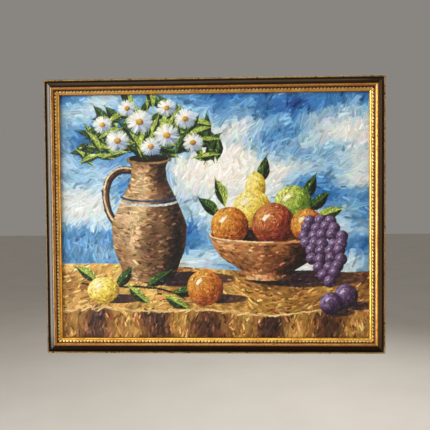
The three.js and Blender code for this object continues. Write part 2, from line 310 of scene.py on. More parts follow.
def grid_faces(rows, columns):
    """Quads of a grid of points, row by row."""
    corner = (np.arange(rows - 1)[:, None] * columns + np.arange(columns - 1)).ravel()
    return np.stack([corner, corner + 1, corner + columns + 1, corner + columns], axis=1).tolist()


def sweep(side, section, stations=2, wave=0.0, seed=0):
    """A mitred bar: (points, faces) of a closed section of (place from the outer edge, depth)."""
    section = np.asarray(section, float)
    reach = SIDES[side][0] / 2 - section[:, 0] - MITRE_GAP
    share = np.linspace(-1, 1, stations)[:, None]
    depth = np.broadcast_to(section[:, 1], (stations, len(section)))
    if wave:
        rng = np.random.default_rng(seed)
        along = share[:, 0] * SIDES[side][0] / 2
        drift = sum(np.sin(along / length + rng.uniform(0, 2 * np.pi)) for length in WAVE_LENGTHS)
        depth = depth + wave * drift[:, None] * (section[:, 1] > section[:, 1].min() + WAVE_FROM)
    points = on_side(side, share * reach, section[:, 0], depth)
    return points.reshape(-1, 3), ring_faces(stations, len(section))


def directions(route, closed=False):
    """The way ahead at each point of a route, as unit steps."""
    ahead = np.roll(route, -1, axis=0) - np.roll(route, 1, axis=0) if closed else np.gradient(route, axis=0)
    return ahead / np.linalg.norm(ahead, axis=1)[:, None]


def tube(route, radius, around, closed=False):
    """A round bar along a flat route of points, all in metres."""
    route = np.asarray(route, float)
    normal = np.linalg.svd(route - route.mean(axis=0))[2][2]
    side = np.cross(directions(route, closed), normal)[:, None]
    turn = np.linspace(0, 2 * np.pi, around, endpoint=False)[None, :, None]
    points = route[:, None] + radius * (np.cos(turn) * side + np.sin(turn) * normal)
    return points.reshape(-1, 3), ring_faces(len(route), around, closed)


def band(route, half_widths, across, thick, chamfer):
    """A flat strip with chamfered edges along a route, in metres. across is the way of its width."""
    up = np.cross(directions(route), across)
    wide = half_widths[:, None]
    high = thick / 2
    corners = []
    for way in (1, -1):
        for inset, rise in ((chamfer, high), (0, high - chamfer), (0, chamfer - high), (chamfer, -high)):
            corners.append(route + way * ((wide - inset) * np.array(across) + rise * up))
    return np.stack(corners, axis=1).reshape(-1, 3), ring_faces(len(route), len(corners))


def joined(parts):
    """One list of points and one of faces from several."""
    points, faces, count = [], [], 0
    for part_points, part_faces in parts:
        points.append(part_points)
        faces += [[i + count for i in face] for face in part_faces]
        count += len(part_points)
    return np.concatenate(points), faces


def block(ends, width):
    """A prism from the corners of its two ends, its edges rounded by a width, all in metres."""
    work = bmesh.new()
    corners = [work.verts.new(point) for point in ends]
    for face in ring_faces(2, len(corners) // 2):
        work.faces.new([corners[i] for i in face])
    bmesh.ops.bevel(work, geom=work.edges[:], offset=width, segments=2, profile=0.5, affect="EDGES")
    work.verts.index_update()
    points = np.array([tuple(corner.co) for corner in work.verts])
    faces = [[corner.index for corner in face.verts] for face in work.faces]
    work.free()
    return points, faces


# Materials

LOBE_GROUND_AND_SHADE = ((0.016, 0.008, 0.004), (0.060, 0.030, 0.012))
BOLE_AND_SHADE = ((0.10, 0.03, 0.006), (0.30, 0.10, 0.018))
STAIN_AND_SHADE = ((0.005, 0.002, 0.001), (0.015, 0.007, 0.003))
RAW_WOOD = ((0.30, 0.17, 0.08), (0.52, 0.34, 0.18))
LACQUER_TINT = (1.0, 0.82, 0.62, 1.0)
PINE_GROWTH = ((0.60, 0.40, 0.20), (0.52, 0.31, 0.13), (0.36, 0.18, 0.06))
PINE_FIBRES = ((0.78, 0.74, 0.68), (1.0, 1.0, 1.0))
FLAX = ((0.47, 0.38, 0.24), (0.60, 0.51, 0.35), (0.66, 0.58, 0.43))
FLAX_GAP_SHADE = (0.26, 0.19, 0.11, 1.0)
ZINC_TONES = ((0.36, 0.35, 0.33), (0.56, 0.56, 0.55), (0.66, 0.66, 0.65))
FLOOR_TONES = ((0.72, 0.68, 0.62), (0.77, 0.73, 0.67))
# Each gilding: the tints of its leaf, how far it is rubbed, the tints of its ground, which also serves as
# painted shade, and its gloss
GOLDS = {
    "lip": (((0.40, 0.22, 0.05), (0.60, 0.36, 0.09), (0.72, 0.47, 0.15)), 0.18, STAIN_AND_SHADE, (0.2, 0.36)),
    "bead": (((0.53, 0.205, 0.022), (0.75, 0.345, 0.05), (0.87, 0.47, 0.10)), 0.10, BOLE_AND_SHADE, (0.2, 0.36)),
    "lobes": (((0.62, 0.35, 0.10), (0.84, 0.53, 0.18), (0.94, 0.67, 0.30)), 0.06, LOBE_GROUND_AND_SHADE, (0.28, 0.44)),
    "sight": (((0.70, 0.34, 0.038), (0.92, 0.52, 0.07), (0.98, 0.64, 0.12)), 0.08, BOLE_AND_SHADE, (0.2, 0.36)),
}
GRAIN_DRAW = 0.06
# Turns a thread's pitch in metres into the scale of a wave texture
WAVE_SCALE = 0.314


def feed(tree, node, inputs):
    """A node's inputs, each set to a value or linked to another node's output."""
    for key, value in inputs.items():
        if isinstance(value, bpy.types.NodeSocket):
            tree.links.new(value, node.inputs[key])
        else:
            node.inputs[key].default_value = value


def add(tree, kind, inputs=None, **settings):
    """A node with its settings and inputs."""
    node = tree.nodes.new(kind)
    for key, value in settings.items():
        setattr(node, key, value)
    feed(tree, node, inputs or {})
    return node


def new_material(name):
    material = bpy.data.materials.new(name)
    material.use_nodes = True
    tree = material.node_tree
    return material, tree, tree.nodes["Principled BSDF"]


def object_places(tree, stretch=(1, 1, 1)):
    places = add(tree, "ShaderNodeTexCoord").outputs["Object"]
    return add(tree, "ShaderNodeMapping", {"Vector": places, "Scale": stretch}).outputs["Vector"]


def noise(tree, places, scale, detail=4.0):
    inputs = {"Vector": places, "Scale": scale, "Detail": detail, "Roughness": 0.55}
    return add(tree, "ShaderNodeTexNoise", inputs).outputs["Fac"]


def attribute(tree, name, output="Fac"):
    return add(tree, "ShaderNodeAttribute", attribute_name=name).outputs[output]


def ramp(tree, value, places, tints):
    """Colours that run through the tints, each at its place."""
    node = add(tree, "ShaderNodeValToRGB", {"Fac": value})
    elements = node.color_ramp.elements
    while len(elements) < len(tints):
        elements.new(0.5)
    for element, place, tint in zip(elements, places, tints):
        element.position = place
        element.color = (*tint, 1.0)
    return node.outputs["Color"]


def spread(tree, value, low, high, to_low=0.0, to_high=1.0):
    """value taken from the range low..high to to_low..to_high, held at the ends."""
    inputs = {"Value": value, "From Min": low, "From Max": high, "To Min": to_low, "To Max": to_high}
    return add(tree, "ShaderNodeMapRange", inputs).outputs["Result"]


def combine(tree, how, a, b):
    return add(tree, "ShaderNodeMath", {0: a, 1: b}, operation=how, use_clamp=True).outputs["Value"]


def mix_colour(tree, share, a, b, how="MIX"):
    inputs = {0: share, 6: a, 7: b}
    return add(tree, "ShaderNodeMix", inputs, data_type="RGBA", blend_type=how).outputs[2]


def bump(tree, height, strength, distance):
    inputs = {"Height": height, "Strength": strength, "Distance": distance}
    return add(tree, "ShaderNodeBump", inputs).outputs["Normal"]


def gilding(name, leaf_tints, wear, base, gloss):
    """Antique gold leaf on a dark base, rubbed through in patches, and dark where the shade attribute holds
    painted shade and the lip's ungilded sides.
    """
    material, tree, shader = new_material(f"gilding_{name}")
    places = object_places(tree)
    patches = noise(tree, places, 150.0)
    specks = noise(tree, places, 900.0, detail=2.0)
    leaf = ramp(tree, noise(tree, places, 60.0, detail=6.0), (0.3, 0.5, 0.72), leaf_tints)
    under = ramp(tree, specks, (0.35, 0.7), base)
    rubbed = spread(tree, patches, 0.72 - wear, 0.78 - wear)
    rubbed = combine(tree, "MULTIPLY", rubbed, spread(tree, specks, 0.3, 0.55, 0.35, 1.0))
    # The shade attribute darkens the gold to its ground: painted shade in the hollows and per side, and the
    # lip's ungilded sides
    bare = combine(tree, "MAXIMUM", rubbed, attribute(tree, "shade"))
    feed(tree, shader, {
        "Base Color": mix_colour(tree, bare, leaf, under),
        "Metallic": spread(tree, bare, 0.0, 1.0, 0.9, 0.1),
        "Roughness": spread(tree, patches, 0.3, 0.8, *gloss),
        "Specular IOR Level": 0.25,
        "Coat Weight": 0.25,
        "Coat Roughness": 0.22,
        "Normal": bump(tree, combine(tree, "ADD", specks, patches), 0.25, 0.0002),
    })
    return material


def grain_stretch(way):
    """Scale of the coordinates that draws a pattern out along X or Z."""
    return (GRAIN_DRAW, 1, 1) if way == "x" else (1, 1, GRAIN_DRAW)


def dark_wood(side):
    """Near-black brown stain under a glossy lacquer, bare where the shade attribute says so."""
    material, tree, shader = new_material(f"dark_wood_{side}")
    fibres = noise(tree, object_places(tree, grain_stretch(GRAIN[side])), 420.0, detail=6.0)
    clouds = noise(tree, object_places(tree), 45.0)
    # Each side's copy has its stain lightened or darkened as painted light and shade: lighter on the right,
    # darker below
    stain = ramp(tree, fibres, (0.3, 0.7), STAIN_SIDE_LIGHT[side] * np.array(STAIN_AND_SHADE))
    raw = ramp(tree, fibres, (0.3, 0.72), RAW_WOOD)
    bare = combine(tree, "MULTIPLY", attribute(tree, "shade"), spread(tree, clouds, 0.25, 0.5, 0.55, 1.0))
    gloss = spread(tree, clouds, 0.3, 0.7, 0.09, 0.18)
    dull = combine(tree, "MULTIPLY", bare, 0.5)
    feed(tree, shader, {
        "Base Color": mix_colour(tree, bare, stain, raw),
        "Roughness": combine(tree, "ADD", gloss, dull),
        "Specular IOR Level": LACQUER[side],
        "Specular Tint": LACQUER_TINT,
        "Normal": bump(tree, fibres, 0.06, 0.0002),
    })
    return material


def pine(way):
    """Planed bare pine: pale wood with darker growth lines drawn out along the bar."""
    material, tree, shader = new_material(f"pine_{way}")
    places = object_places(tree, grain_stretch(way))
    growth = {"Vector": places, "Scale": 36.0, "Distortion": 7.0, "Detail": 3.0, "Detail Scale": 1.2}
    lines = add(tree, "ShaderNodeTexWave", growth, bands_direction="DIAGONAL").outputs["Fac"]
    fibres = noise(tree, places, 700.0, detail=5.0)
    wood = ramp(tree, lines, (0.1, 0.75, 1.0), PINE_GROWTH)
    tint = ramp(tree, fibres, (0.3, 0.7), PINE_FIBRES)
    feed(tree, shader, {
        "Base Color": mix_colour(tree, 1.0, wood, tint, "MULTIPLY"),
        "Roughness": spread(tree, fibres, 0.3, 0.7, 0.6, 0.8),
        "Normal": bump(tree, fibres, 0.2, 0.0003),
    })
    return material


def weave(tree, pitch):
    """Height of a plain weave whose threads run along X and Z, a pitch in millimetres apart."""
    places = object_places(tree)
    inputs = {"Vector": places, "Scale": WAVE_SCALE / (pitch * MM), "Distortion": 0.6, "Detail Scale": 40.0}
    threads = [add(tree, "ShaderNodeTexWave", inputs, bands_direction=way).outputs["Fac"] for way in "XZ"]
    return combine(tree, "MULTIPLY", *threads), places


def raw_canvas():
    """Unbleached plain-weave canvas with slubs and a little age."""
    material, tree, shader = new_material("raw_canvas")
    threads, places = weave(tree, 0.9)
    cloth = ramp(tree, noise(tree, places, 14.0, detail=6.0), (0.3, 0.55, 0.8), FLAX)
    # The low places between the threads are darkened as painted shade
    gap_shade = spread(tree, threads, 0.0, 0.45, 0.75, 0.0)
    feed(tree, shader, {
        "Base Color": mix_colour(tree, gap_shade, cloth, FLAX_GAP_SHADE),
        "Roughness": 0.92,
        "Sheen Weight": 0.15,
        "Normal": bump(tree, threads, 0.5, 0.0003),
    })
    return material


def oil_paint():
    """Oil paint whose colour is laid on mark by mark, over a faint weave."""
    material, tree, shader = new_material("oil_paint")
    threads, places = weave(tree, 1.3)
    smear = noise(tree, places, 260.0, detail=3.0)
    feed(tree, shader, {
        "Base Color": attribute(tree, "paint", "Color"),
        "Roughness": spread(tree, smear, 0.3, 0.7, 0.36, 0.56),
        "Specular IOR Level": 0.4,
        "Normal": bump(tree, combine(tree, "ADD", threads, smear), 0.18, 0.0002),
    })
    return material


def zinc():
    """Zinc-plated steel, a little dull and spotted."""
    material, tree, shader = new_material("zinc")
    spots = noise(tree, object_places(tree), 420.0, detail=5.0)
    feed(tree, shader, {
        "Base Color": ramp(tree, spots, (0.3, 0.5, 0.75), ZINC_TONES),
        "Metallic": 1.0,
        "Roughness": spread(tree, spots, 0.3, 0.75, 0.48, 0.27),
        "Normal": bump(tree, spots, 0.08, 0.0001),
    })
    return material


def pale_floor():
    material, tree, shader = new_material("pale_floor")
    cloud = noise(tree, object_places(tree), 3.0)
    feed(tree, shader, {"Base Color": ramp(tree, cloud, (0.3, 0.7), FLOOR_TONES), "Roughness": 0.8})
    return material


DARK_WOOD = {side: dark_wood(side) for side in SIDES}
PINE = {way: pine(way) for way in "xz"}
GILDING = {name: gilding(name, *looks) for name, looks in GOLDS.items()}
RAW_CANVAS = raw_canvas()
OIL_PAINT = oil_paint()
ZINC = zinc()


# Camera, light and floor

# Each light: its place from the middle of the frame and its width and height in metres, watts and colour
LIGHTS = {
    "window": ((-1.72, -1.00, 0.15), (1.3, 1.7), 48.0, (1.0, 0.99, 0.98)),
    "window_edge": ((-1.86, -0.42, 0.10), (0.7, 1.6), 17.0, (0.66, 0.86, 1.0)),
    "bounce": ((1.80, -0.70, 0.0), (0.8, 1.4), 14.0, (1.0, 0.69, 0.40)),
    "ceiling": ((-0.1, -1.3, 1.5), (1.7, 1.2), 13.5, (1.0, 0.95, 0.84)),
    "behind": ((0.9, 2.2, 1.3), (1.8, 1.8), 40.0, (1.0, 0.99, 0.97)),
}
WORLD_TINT = (1.0, 0.95, 0.88, 1.0)
WORLD_STRENGTH = 0.25
FLOOR_HALF = 15.0
HANG_HEIGHT = 0.8


def stage():
    lens = bpy.data.cameras.new("camera")
    lens.sensor_width = SENSOR_MM
    lens.lens = FOCAL_PIXELS / PICTURE_PIXELS * SENSOR_MM
    camera = place_object("camera", lens)
    turn = Vector([math.radians(angle) for angle in CAMERA_TURN_DEG])
    tilt = Matrix.Rotation(turn.length, 4, turn.normalized())
    level = Matrix.Rotation(math.radians(90), 4, "X")
    camera.matrix_world = Matrix.Translation(Vector(CAMERA_PLACE) * MM) @ tilt @ level
    bpy.context.scene.camera = camera

    aim = Vector((MIDDLE_X, 0, MIDDLE_Z)) * MM
    for name, (place, size, power, colour) in LIGHTS.items():
        lamp = bpy.data.lights.new(name, "AREA")
        lamp.shape = "RECTANGLE"
        lamp.size, lamp.size_y = size
        lamp.energy = power
        lamp.color = colour
        piece = place_object(name, lamp)
        piece.location = Vector(place) + aim
        piece.rotation_euler = (aim - piece.location).to_track_quat("-Z", "Y").to_euler()

    world = bpy.data.worlds.new("studio")
    world.use_nodes = True
    sky = world.node_tree.nodes["Background"]
    sky.inputs["Color"].default_value = WORLD_TINT
    sky.inputs["Strength"].default_value = WORLD_STRENGTH
    bpy.context.scene.world = world
    bpy.context.scene.view_settings.view_transform = "Standard"

    ground = BOTTOM * MM - HANG_HEIGHT
    corners = [(x * FLOOR_HALF, y * FLOOR_HALF, ground) for x, y in ((-1, -1), (1, -1), (1, 1), (-1, 1))]
    floor = bpy.data.meshes.new("floor")
    floor.from_pydata(corners, [], [(0, 1, 2, 3)])
    floor.materials.append(pale_floor())
    place_object("floor", floor)


# Frame

def rail_section():
    """The dark wood, with how bare each point is: raw on the back and in the rebate, rubbed at its step."""
    inner = RAIL[1]
    shelf = SIGHT_DEPTH[1] - SHELF_SINK
    groove = BEAD_DEPTH[0] - GROOVE_SINK
    cove = (COVE_PLACE, COVE_FLOOR)
    step = (STEP_PLACE, STEP_DEPTH)
    seat = (BEAD[0], BEAD_DEPTH[0])
    lip_foot = (LIP[1] + SEAT_GAP, COVE_FLOOR)
    back = [(BACK_CHAMFER, 0), (BACK_STAIN, 0), (REBATE_WALL, 0)]
    back += [(REBATE_WALL, REBATE_DEPTH), (inner, REBATE_DEPTH)]
    inside = [(inner, shelf), (LOBES[0], shelf), (LOBES[0], groove)]
    inside += [(BEAD[1], groove), (BEAD[1], seat[1]), seat]
    swell = flow(seat, (-1.0, -0.45), (0.8, 0.55), np.add(step, LEDGE), 7)
    scoop = flow(step, (-1.3, -0.65), (0.7, 0.1), cove, 9)
    rise = flow(cove, (-0.7, -0.1), (0.7, 0), lip_foot, 5)
    above = [*inside, *swell, np.add(step, QUIRK)]
    below = [*scoop, *rise, (0.0, LIP_DEPTH[0] - SEAT_GAP), (0.0, BACK_CHAMFER)]
    bare = np.repeat((1.0, 0.0, STEP_WEAR, 0.0), (len(back), len(above), 1, len(below)))
    bare[0] = CHAMFER_WEAR
    return np.array([*back, *above, step, *below]), bare


def worn_and_shaded(past, start, run, most):
    """How dark gold is at places past where its darkening starts: off the lip's crown, and painted shade on
    the bead and the sight edge.
    """
    return np.clip((past - start) / run, 0, most)


def lip_section():
    """The outer lip, with how dark each point is: its gold is left only along its crown."""
    middle, half = LIP.mean(), np.ptp(LIP) / 2
    foot = LIP_DEPTH[0] - LIP_SINK
    top = arc((middle, LIP_DEPTH[1] - half), half, half, 0, 180, 10)
    points = np.concatenate([[(LIP[0], foot), (LIP[1], foot)], top])
    return points, worn_and_shaded(np.abs(points[:, 0] - middle - LIP_LEAN), *LIP_WEAR)


def bead_section(side):
    """The bead, with how dark it is: painted shade on its fall to the groove, on the lower rail instead on
    its outer, downward side.
    """
    outer, inner = BEAD[0] - SEAT_GAP, BEAD[1] + SEAT_GAP
    foot, top = BEAD_DEPTH[0] - BEAD_SINK, BEAD_DEPTH[1]
    heel, crest = (inner, BEAD_DEPTH[0] + BEAD_HEEL), (BEAD_CREST, top)
    fall = flow(heel, (-0.5, 1.0), (1.1, -0.5), crest, 9)
    rise = flow(crest, (-0.4, 0.1), (0, 1.1), (outer, BEAD_SHOULDER), 7)
    points = np.concatenate([[(outer, foot), (inner, foot), heel], fall, rise])
    past_crest = points[:, 0] - BEAD_CREST
    if side == "bottom":
        return points, worn_and_shaded(-past_crest, *LOWER_BEAD_SHADE)
    return points, worn_and_shaded(past_crest, *BEAD_SHADE)


def sight_section():
    """The sight edge, which slopes down to the picture, with how dark it is: painted shade where it is
    lowest.
    """
    start, end = SIGHT
    top = SIGHT_DEPTH[1] - SIGHT_DROP
    inner, sink = end - SIGHT_NOSE, top - SIGHT_TALL
    foot = [(start, sink), (inner, sink), (inner, SIGHT_DEPTH[0]), (end, SIGHT_DEPTH[0]), (end, SIGHT_LOW)]
    edge = [(start + place, top - drop) for place, drop in SIGHT_ROUND]
    slope = flow((end, SIGHT_LOW), (-0.3, 1.3), (1.6, -0.2), edge[0], 10)
    points = np.concatenate([foot, slope, edge[1:]])
    return points, worn_and_shaded(points[:, 0] - end, *SIGHT_SHADE)


def lobe(across=9, length=9):
    """One rounded lobe on a unit grid: places along (-1..1), from root to tip (0..1), height and shade."""
    a = np.sin(np.linspace(-np.pi / 2, np.pi / 2, across))[:, None]
    b = (1 - np.cos(np.linspace(0, np.pi, length)))[None, :] / 2
    width = np.sqrt(1 - np.clip((b + 0.1) / 1.15, 0, 1) ** 2)
    to_root = np.clip(1 - b / LOBE_CREST, 0, 1) ** 1.4
    to_tip = np.clip((b - LOBE_CREST) / (1 - LOBE_CREST), 0, 1) ** 2
    crest = 1 - LOBE_FALL["root"] * to_root - LOBE_FALL["tip"] * to_tip
    # The roots run together, and the lobes part towards their tips
    apart = np.clip((b - 0.05) / 0.35, 0, 1)
    dome = 1 - (1 - np.sqrt(np.clip(1 - a**4, 0, 1))) * apart
    # Each lobe's sides are darkened as painted shade where the lobes part into notches
    return a * width, b + 0 * a, dome * crest, np.clip(2.4 - 2.7 * dome, 0, 1)


def lobe_row(side, seed):
    """A row of slanted lobes on a strip darkened as painted shade, tips towards the bead: points, faces and
    shade.
    """
    rng = np.random.default_rng(seed)
    half = SIDES[side][0] / 2
    first, last = BEAD[1] + STRIP_GAP, SIGHT[0] + STRIP_LAP
    low = RECESS_DEPTH - STRIP_THICK
    tops = [(place, RECESS_DEPTH) for place in (last, LOBES[0] + STRIP_SHADE_REACH, LOBES[0], first)]
    parts = [sweep(side, [(first, low), (last, low), *tops])]
    # Painted shade: the strip is fully dark under the lobes and a little less in the groove
    shades = [np.tile((1.0, 1.0, 1.0, 1.0, STRIP_GROOVE_SHADE, STRIP_GROOVE_SHADE), 2)]
    root, tip = SIGHT[0] + LOBE_ROOT, LOBES[0] + LOBE_TIP
    reach = half - (root + tip) / 2
    count = round(2 * reach / LOBE_PITCH)
    pitch = 2 * reach / count
    a, b, height, shade = lobe()
    edge = np.arange(a.size).reshape(a.shape)
    rim = np.concatenate([edge[0], edge[1:, -1], edge[-1, -2::-1], edge[-2:0:-1, 0]])
    faces = grid_faces(*a.shape) + [rim[::-1].tolist()]
    floor = RECESS_DEPTH - LOBE_SINK
    for i in range(count):
        middle = -reach + (i + 0.5) * pitch + rng.normal(0, LOBE_STRAY["place"])
        size = rng.normal(1, LOBE_STRAY["size"])
        along = middle + a * pitch / 2 * size + (b - 0.5) * 2 * LOBE_SLANT
        inward = root + (tip - root) * b * (1 + LOBE_STRAY["length"] * rng.normal())
        mitre = half - inward - MITRE_GAP
        depth = floor + height * (LOBE_DEPTH[1] - floor) * size
        points = on_side(side, np.clip(along, -mitre, mitre), inward, depth)
        parts.append((points.reshape(-1, 3), faces))
        shades.append(shade.ravel())
    return *joined(parts), np.concatenate(shades)


# Adds each side's painted shade to the gold's shade
def side_shaded(shade, name, side):
    return np.clip(shade + SIDE_SHADE.get((name, side), 0), 0, 1)


def build_frame():
    wood, bare = rail_section()
    for number, side in enumerate(SIDES):
        rail = sweep(side, wood, RAIL_STATIONS)
        shade = np.tile(bare, RAIL_STATIONS)
        refine(f"rail_{side}", *rail, DARK_WOOD[side], "dark_wood", shade=shade, sharp=32)
        # Each gilt moulding: its section, its gilding and how far its surface wavers
        golds = {
            "outer_lip": (lip_section(), "lip", 0.025),
            "gilt_bead": (bead_section(side), "bead", 0.05),
            "sight_edge": (sight_section(), "sight", 0.04),
        }
        stations = int(SIDES[side][0] / GOLD_STATION)
        for name, ((section, dark), gold, wave) in golds.items():
            bar = sweep(side, section, stations, wave, seed=10 * number + len(name))
            shade = side_shaded(np.tile(dark, stations), name, side)
            refine(f"{name}_{side}", *bar, GILDING[gold], "gilding", shade=shade)
        points, faces, shade = lobe_row(side, 100 + number)
        shade = side_shaded(shade, "lobe_row", side)
        refine(f"lobe_row_{side}", points, faces, GILDING["lobes"], "gilding", shade=shade, sharp=60)


# Picture: a still life laid on mark by mark, in millimetres from the lower left corner of the paint

SIGHT_SIZE = (SIDES["top"][0] - 2 * SIGHT[1], SIDES["left"][0] - 2 * SIGHT[1])
PAINT_WIDTH, PAINT_HEIGHT = (size + 2 * PAINT_UNDER_LIP for size in SIGHT_SIZE)
PAINT_BASE = CLOTH_FRONT + 0.05
PAINT_SKIRT = CLOTH_FRONT - 0.1
PAINT_EDGE_RELIEF = 0.5
PAINT_EDGE_REACH = (4.0, 6.0)
GROUND_TINT = (0.72, 0.52, 0.30)
SUN = (-0.58, 0.55, 0.6)

# Brush marks: their edges, how they run dry, their streaks and ridges, and the small accents among them
BRISTLES = np.linspace(-1.1, 1.1, 12)
SIDE_CRISP = 4.0
END_CRISP = 2.0
END_RAGGED = 0.8
DRY = (1.7, 1.15)
STREAKS = (0.86, 0.24)
RIDGES = (0.35, 0.65)
EDGE_RIDGE = (0.7, 0.5)
MARK_BEND = 0.4
SOFT_EDGE = 1.2
ACCENT_SIZE = 0.5
ACCENT_COVER = 0.8
ACCENT_LOAD = 1.5
ACCENT_STRAY = 2.2

# Tone of the finished paint
DEEPEN = 1.65
BRIGHTEN = 1.06
WHITEST = 0.88
WHITE_FALL = 0.8

ORANGE = ((110, 42, 18), (196, 84, 24), (236, 132, 36), (252, 186, 84))
RED = ((70, 16, 14), (150, 40, 26), (206, 84, 44), (240, 164, 92))
GREEN = ((38, 66, 24), (98, 144, 40), (160, 192, 62), (222, 226, 120))
YELLOW = ((140, 96, 24), (214, 168, 44), (244, 212, 84), (254, 238, 160))
PURPLE = ((26, 14, 34), (64, 34, 76), (104, 68, 120), (164, 140, 188))
STONEWARE = ((26, 16, 12), (64, 38, 24), (128, 82, 48), (190, 142, 92), (236, 206, 160))
COPPER = ((34, 18, 12), (92, 46, 24), (168, 94, 46), (220, 150, 86), (250, 220, 170))
HEART = ((120, 60, 20), (215, 140, 35), (250, 205, 70))
PETAL = ((120, 145, 185), (205, 214, 224), (252, 250, 240))
LEAVES = (((14, 38, 20), (34, 82, 30), (92, 146, 44)), ((34, 82, 30), (98, 152, 44), (188, 208, 86)))
SHADOW = ((58, 34, 42), (84, 52, 60), (150, 96, 62))
AIR = ((12, 92, 206), (64, 146, 226), (150, 194, 226), (214, 226, 230), (248, 246, 238))
OCHRE = ((86, 46, 40), (158, 92, 44), (206, 144, 62), (234, 186, 98), (250, 226, 172))
TWIG = (70, 44, 26)
HEM = (242, 206, 136)
WARM_SHINE = (255, 248, 226)
COOL_SHINE = (206, 198, 228)

# Where things are: points as (x, y), then sizes
GLOW = (300, 250)
GLOW_REACH = (190, 120)
TABLE_BACK = 120.0
TABLE_FRONT = 44.0
JUG_MIDDLE = 146.0
JUG_MOUTH = 292.0
JUG_LIP = (33, 6)
JUG_HANDLE = ((124, 274), (66, 290), (64, 214), (94, 186))
JUG_OUTLINE = ((97, 104, 148, 186, 226, 258, 280, JUG_MOUTH), (36, 41, 58, 61, 45, 29, 27, 34))
GLAZE_BANDS = ((232, 43, (60, 96, 140)), (225, 46, (196, 206, 206)))
BOWL_MIDDLE = 338.0
BOWL_RIM = 168.0
BOWL_OUTLINE = ((99, 106, 113, 130, 150, BOWL_RIM), (37, 33, 44, 73, 88, 93))
TWIG_ROUTE = ((36, 92), (80, 78), (150, 96), (196, 70))
GRAPE_ROWS = (3, 4, 5, 5, 4, 4, 3, 2, 1)
GRAPE_TOP = (420, 192)
# Flowers and shadows: places and half widths
FLOWERS = (
    (96, 322, 20), (132, 352, 22), (176, 330, 21), (150, 312, 17), (206, 356, 18),
    (72, 348, 16), (218, 318, 17), (176, 374, 16), (112, 374, 15),
)
SHADOWS = ((262, 66, 42), (96, 66, 36), (478, 54, 26), (452, 44, 24))
# Leaves: places and turns
BOWL_LEAVES = (
    (244, 214, 2.4), (262, 238, 1.9), (418, 222, 0.7), (436, 204, 0.3), (404, 244, 1.1),
    (276, 196, 2.8), (330, 272, 1.3),
)
TABLE_LEAVES = (
    (44, 106, 2.5), (104, 100, 0.9), (128, 72, -0.7), (160, 98, 0.6), (190, 60, -0.5), (206, 78, 0.1),
)
# Fruit: places, half widths, how tall for their width, tints and shine
BOWL_FRUIT = (
    (378, 218, 30, 1.0, GREEN, WARM_SHINE),
    (318, 246, 16, 1.5, YELLOW, None),
    (312, 212, 30, 1.0, YELLOW, WARM_SHINE),
    (276, 184, 30, 1.0, ORANGE, WARM_SHINE),
    (346, 186, 34, 1.0, RED, WARM_SHINE),
    (400, 184, 26, 1.0, ORANGE, WARM_SHINE),
)
TABLE_FRUIT = (
    (70, 80, 26, 0.82, YELLOW, WARM_SHINE),
    (236, 84, 29, 1.0, ORANGE, WARM_SHINE),
    (462, 70, 19, 1.0, PURPLE, COOL_SHINE),
    (438, 58, 18, 1.0, PURPLE, COOL_SHINE),
)


def tints_at(share, tints):
    """Colours between evenly spaced tints, for shares from 0 to 1."""
    places = np.linspace(0, 1, len(tints))
    tints = np.array(tints) / 255
    return np.stack([np.interp(share, places, tints[:, i]) for i in range(3)], axis=-1)


def wander(x, y, size, seed):
    """Smooth values from about 0 to 1 that wander over a given size."""
    rng = np.random.default_rng(seed)
    total = 0
    for octave in (1, 2, 4):
        for _ in range(4):
            turn, phase = rng.uniform(0, 2 * np.pi, 2)
            way = x * np.cos(turn) + y * np.sin(turn)
            total = total + np.sin(way * 2 * np.pi * octave / size + phase) / octave
    return 0.5 + 0.16 * total


def turned(x, y, place, turn, size):
    """Places along and across a turned thing, from -1 to 1 over its length and width."""
    cos, sin = np.cos(turn), np.sin(turn)
    x, y = x - place[0], y - place[1]
    return (x * cos + y * sin) * 2 / size[0], (y * cos - x * sin) * 2 / size[1]


def box_round(place, half_x, half_y):
    return place[0] - half_x, place[1] - half_y, place[0] + half_x, place[1] + half_y


